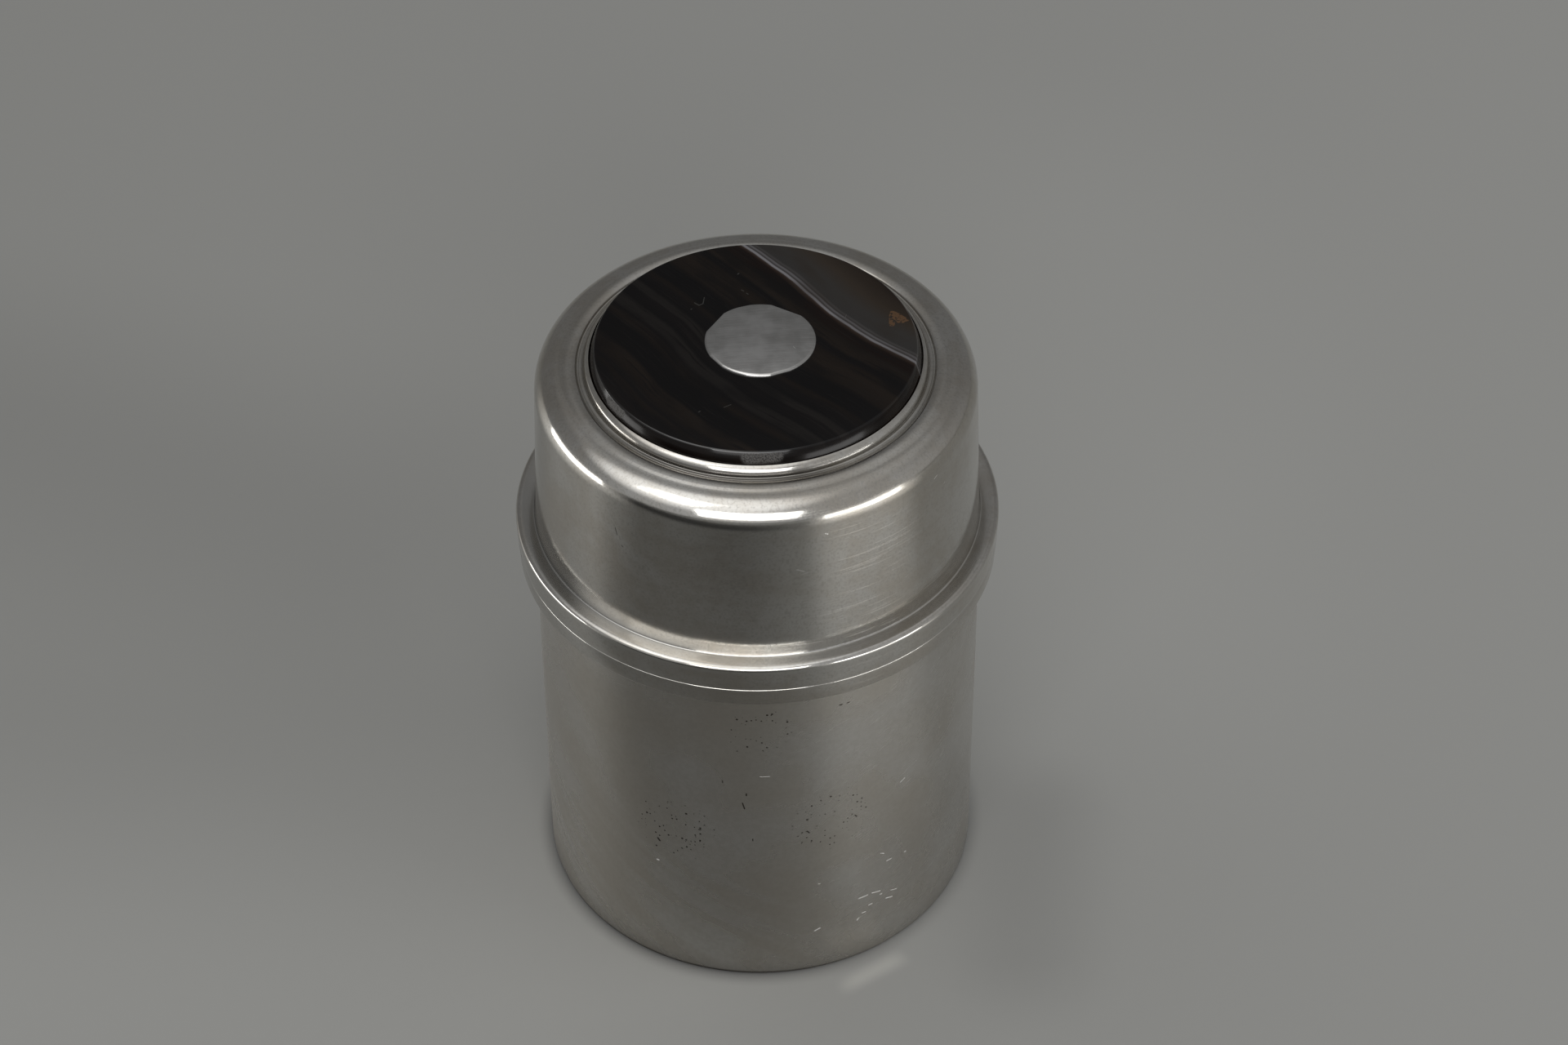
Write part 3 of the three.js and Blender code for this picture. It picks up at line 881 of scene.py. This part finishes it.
def table_paper(name):
    material, start = new_material(name)
    place = Place(start)
    paper = place.noise(3, 3, 0.6)
    # Painted light: the table is paler towards the right and behind, with the paper's own
    # faint mottling
    paler = (place.x * 0.75 + place.y * 0.35).between(-190, 190)
    colour = (paler + (paper - 0.5) * 0.10).colour(TABLE_LEFT, TABLE_RIGHT)
    # Painted light falls on it at the front left and behind on the right, and painted shade
    # lies behind on the left and just to the right of the foot
    lit = (place.stroke((-190, -45, 0), (-55, -38, 0), 160) * 0.34
           + place.stroke((60, 60, 0), (60, 180, 0), 190) * 0.26)
    colour = lit.colour(colour, TABLE_LIT)
    dim = (place.stroke((-250, 150, 0), (-90, 90, 0), 140) * 0.24
           + place.stroke((54, 0, 0), (50, -36, 0), 44) * 0.26)
    colour = dim.colour(colour, TABLE_DIM)
    # Painted shade beside the foot, where little light gets in. A faint painted streak of
    # light to the right stands for what the wall throws
    beside = place.out.between(44.5, 40.5) * (0.30 + place.toward(-45, 0.0, 0.9) * 0.22)
    colour = beside.colour(colour, UNDER_FOOT)
    streak = (place.stroke((15.0, -44.8, 0), (27.0, -37.0, 0), 6.0)
              * place.toward(28, 0.982, 0.998))
    colour = (streak * 0.46).colour(colour, STREAK)

    # For glossy rays only, the table is painted darker in front, as painted shade, and
    # glows on both sides, as painted light from the windows: the metal shows both as
    # painted reflections
    reflected = start.node("ShaderNodeLightPath", output="Is Glossy Ray")
    nearness = 0 - place.y
    shade = nearness.between(20, 60) * 0.50 + nearness.between(130, 260) * 0.42
    shade = shade * place.toward(-36, 0.22, 0.95) * (1 - nearness.between(400, 1200) * 0.7)
    colour = (shade * reflected).colour(colour, IN_SHADE)
    painted_catch = (place.toward(51, 0.86, 0.998) * place.out.between(120, 290) * 0.70
             + place.toward(52, 0.84, 0.99) * place.out.between(40, 80) * 0.05
             + place.toward(-94, 0.76, 0.99) * place.out.between(100, 320) * 0.46)
    shader = start.node("ShaderNodeBsdfPrincipled", {}, {
        "Base Color": colour, "Roughness": 0.75, "Specular IOR Level": 0.0,
        "Emission Color": (painted_catch * reflected).colour(grey(0), WINDOW_LIGHT),
        "Emission Strength": 1.0})
    start.node("ShaderNodeOutputMaterial", {}, {"Surface": shader})
    return material


def table():
    bpy.ops.object.select_all(action="DESELECT")
    bpy.ops.mesh.primitive_circle_add(vertices=96, radius=TABLE_R, fill_type="NGON")
    ground = bpy.context.active_object
    ground.name = "table"
    ground.data.materials.append(table_paper("table_paper"))


def surroundings():
    """The room that the metal shows: dim behind, lighter in front and overhead, with a
    broad soft ceiling light high on the left. All else is lit evenly, and the lens sees a
    plain grey backdrop."""
    world = bpy.data.worlds.new("room")
    bpy.context.scene.world = world
    world.use_nodes = True
    world.node_tree.nodes.clear()
    start = Wire(world.node_tree)
    looking = start.node("ShaderNodeTexCoord", output="Generated")

    def facing(azimuth, elevation):
        return looking.vector(
            "DOT_PRODUCT", {0: looking, 1: way_out(azimuth, elevation)}, "Value")

    def ray(kind):
        return start.node("ShaderNodeLightPath", output=f"Is {kind} Ray")

    room = facing(12, 0).between(-0.97, 0.80).colour(FAR_WALL, NEAR_WALL)
    room = (facing(180, 84).between(0.66, 0.98) * 0.55).colour(room, CEILING)
    room = facing(-45, 62).between(0.70, 0.95).colour(room, CEILING_LIGHT)
    room = ray("Glossy").colour(EVEN_LIGHT, room)
    seen = ray("Camera").larger(ray("Transmission"))
    background = start.node("ShaderNodeBackground", {}, {
        "Color": seen.colour(room, BACKDROP), "Strength": 1.0})
    start.node("ShaderNodeOutputWorld", {}, {"Surface": background})


def softbox(name, azimuth, elevation, away, across, high, radiance, warmth=0.0,
            lights_table=False, shows=True):
    """A soft light seen from the lid in that direction, so many metres away. Its size is
    the angle that it fills across and up. It shows in the metal, lights the table, or
    both."""
    width = 2 * away * tan(radians(across / 2))
    height = 2 * away * tan(radians(high / 2))
    bpy.ops.object.light_add(
        type="AREA",
        location=way_out(azimuth, elevation) * away + Vector((0, 0, LAMP_AIM_Z)),
        rotation=(pi / 2 - radians(elevation), 0, radians(azimuth)))
    lamp = bpy.context.active_object
    lamp.name = name
    lamp.visible_camera = False
    lamp.visible_diffuse = lights_table
    lamp.visible_glossy = shows
    lamp.data.shape = "RECTANGLE"
    lamp.data.size, lamp.data.size_y = width, height
    lamp.data.energy = radiance * pi * width * height
    lamp.data.color = grey(1.0, warmth)[:3]


def lamps():
    softbox("front_window", -3.5, 23, away=1.3, across=45, high=25, radiance=3.4,
            lights_table=True)
    softbox("right_panel", 49, -6.3, away=0.47, across=38, high=14.5, radiance=3.0)
    softbox("left_panel", -91, -6.2, away=0.47, across=36, high=14.5, radiance=3.0,
            warmth=0.01)
    softbox("high_left_light", -50, 53, away=1.6, across=27, high=28, radiance=0.8,
            warmth=0.01)
    softbox("side_light", 80, 28, away=1.4, across=40, high=25, radiance=1.6,
            lights_table=True, shows=False)


def camera():
    bpy.ops.object.camera_add(location=CAMERA_PLACE)
    view = bpy.context.active_object
    view.matrix_world = (Matrix.Translation(view.location)
                         @ Matrix.Rotation(radians(CAMERA_TILT), 4, "X")
                         @ Matrix.Rotation(radians(CAMERA_ROLL), 4, "Z"))
    view.data.sensor_width = FILM_WIDTH
    view.data.lens = FOCAL_LENGTH
    view.data.clip_start, view.data.clip_end = 0.01, 100
    bpy.context.scene.camera = view


# The box, dressed

def dress(piece, body, node, material):
    piece.data.materials.clear()
    piece.data.materials.append(material)
    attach(piece, body)
    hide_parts(node)


outer = turned_pewter("turned_pewter")
inner = spun_pewter("spun_pewter")
dress(wall(), "box_body", "body_wall", satin_pewter("satin_pewter"))
dress(base(), "box_body", "base_disc", inner)
dress(rim(), "box_body", "rim_ring", outer)
dress(neck(), "box_body", "neck_sleeve", inner)
dress(lid(), "lid", "lid_shell", outer)
dress(flange(), "lid", "lid_flange", outer)
dress(bezel(), "lid", "bezel_ring", outer)
dress(stone(), "lid", "agate_disc", agate("banded_agate"))
dress(stud(), "lid", "centre_stud", brushed_pewter("brushed_pewter"))
for node, material in (("cement_bed", cement("setting_cement")), ("stud_washer", inner)):
    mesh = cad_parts[node].data
    mesh.materials.clear()
    mesh.materials.append(material)

table()
surroundings()
lamps()
camera()
bpy.context.scene.view_settings.view_transform = "Standard"
